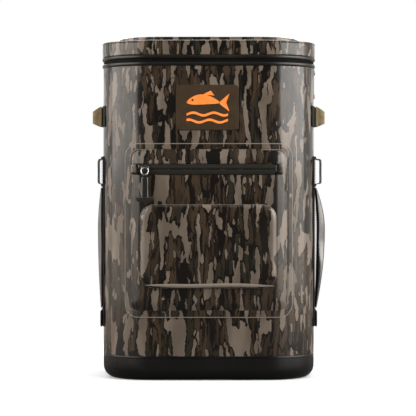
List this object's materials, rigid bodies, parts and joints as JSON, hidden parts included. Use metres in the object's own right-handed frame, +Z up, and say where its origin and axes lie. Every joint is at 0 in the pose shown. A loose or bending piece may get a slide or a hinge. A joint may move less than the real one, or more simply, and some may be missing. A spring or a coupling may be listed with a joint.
{
  "type": "insulated fishing backpack",
  "caption": "Tall soft-sided waterproof backpack with an insulated main compartment, hinged zipped lid, welded zipped front pocket, side handles and loops, and a padded carry system.",
  "frame": {"origin": "centre of the boot's flat underside", "axes": "+Z up, front pocket towards -Y, +X to the right of someone who looks at the front"},
  "size_m": [0.3338, 0.3049, 0.4846],
  "materials": {
    "camo_shell": "coated fabric, satin to glossy, bark pattern",
    "black_coated": "black coated fabric, satin",
    "black_rubber": "moulded, satin",
    "black_webbing": "woven webbing",
    "black_plastic": "moulded, fine grain",
    "black_mesh": "padded spacer mesh",
    "tan_webbing": "woven webbing",
    "patch_fabric": "fine-grained patch",
    "foam": "closed-cell foam",
    "liner": "smooth pale film",
    "steel": "polished wire"
  },
  "bodies": {
    "body": {"back_pad_left": "black_mesh", "back_pad_right": "black_mesh", "back_panel": "black_coated", "base_boot": "black_rubber", "body_zip_tape": "black_coated", "floor_foam": "foam", "gear_loop_left": "black_webbing", "gear_loop_right": "black_webbing", "handle_anchor_left": "black_webbing", "handle_anchor_right": "black_webbing", "haul_grip": "black_rubber", "haul_handle": "black_webbing", "hinge_strip_lower": "black_coated", "inner_liner": "liner", "label_patch": "patch_fabric", "ladder_lock_left": "black_plastic", "ladder_lock_right": "black_plastic", "outer_shell": "camo_shell", "pocket_panel": "camo_shell", "pocket_pouch": "camo_shell", "pocket_weld_frame": "camo_shell", "pocket_zip_dock_left": "camo_shell", "pocket_zip_dock_right": "camo_shell", "pocket_zip_tape_lower": "black_coated", "pocket_zip_tape_upper": "black_coated", "rim_binding": "black_coated", "shoulder_strap_left": "black_mesh", "shoulder_strap_right": "black_mesh", "side_handle_left": "black_coated", "side_handle_right": "black_coated", "side_rail_left": "black_webbing", "side_rail_right": "black_webbing", "strap_anchor_left": "black_webbing", "strap_anchor_right": "black_webbing", "strap_webbing_left": "black_webbing", "strap_webbing_right": "black_webbing", "strap_yoke": "black_webbing", "tie_loop_left": "tan_webbing", "tie_loop_right": "tan_webbing", "tie_patch_left": "black_webbing", "tie_patch_right": "black_webbing", "wall_foam": "foam"},
    "lid": {"lid_shell": "camo_shell", "lid_foam": "foam", "lid_liner": "liner", "lid_binding": "black_coated", "lid_zip_tape": "black_coated", "hinge_strip_upper": "black_coated"},
    "main_slider": {"main_zip_slider": "black_plastic"},
    "main_pull": {"main_zip_pull": "black_plastic"},
    "pocket_slider": {"pocket_zip_slider": "black_plastic"},
    "pocket_ring": {"pocket_zip_ring": "steel"},
    "pocket_pull": {"pocket_zip_pull": "black_plastic"},
    "chest_strap_right": {"sternum_clip_right": "black_plastic", "sternum_webbing_right": "black_webbing", "sternum_buckle_female": "black_plastic"},
    "chest_strap_left": {"sternum_clip_left": "black_plastic", "sternum_webbing_left": "black_webbing", "sternum_buckle_male": "black_plastic"}
  },
  "joints": [
    {"name": "lid_hinge", "type": "hinge", "parent": "body", "child": "lid", "pos_m": [0, 0.119, 0.449], "axis": [-1, 0, 0], "range_deg": [0, 135]},
    {"name": "main_zip_slide", "type": "slide", "parent": "body", "child": "main_slider", "axis": [0, -1, 0], "range_m": [0, 0.08]},
    {"name": "main_pull_lift", "type": "hinge", "parent": "main_slider", "child": "main_pull", "pos_m": [0.1552, 0.042, 0.44], "axis": [0, -1, 0], "range_deg": [0, 105]},
    {"name": "pocket_zip_slide", "type": "slide", "parent": "body", "child": "pocket_slider", "axis": [1, 0, 0], "range_m": [0, 0.17]},
    {"name": "pocket_ring_swing", "type": "hinge", "parent": "pocket_slider", "child": "pocket_ring", "pos_m": [-0.089, -0.1288, 0.2955], "axis": [0, -1, 0], "range_deg": [-60, 60]},
    {"name": "pocket_pull_lift", "type": "hinge", "parent": "pocket_ring", "child": "pocket_pull", "pos_m": [-0.089, -0.1288, 0.288], "axis": [-1, 0, 0], "range_deg": [-4, 100]},
    {"name": "chest_strap_height", "type": "slide", "parent": "body", "child": "chest_strap_right", "axis": [0, 0, 1], "range_m": [-0.03, 0.03]},
    {"name": "chest_buckle_release", "type": "slide", "parent": "chest_strap_right", "child": "chest_strap_left", "axis": [-1, 0, 0], "range_m": [0, 0.018]}
  ]
}
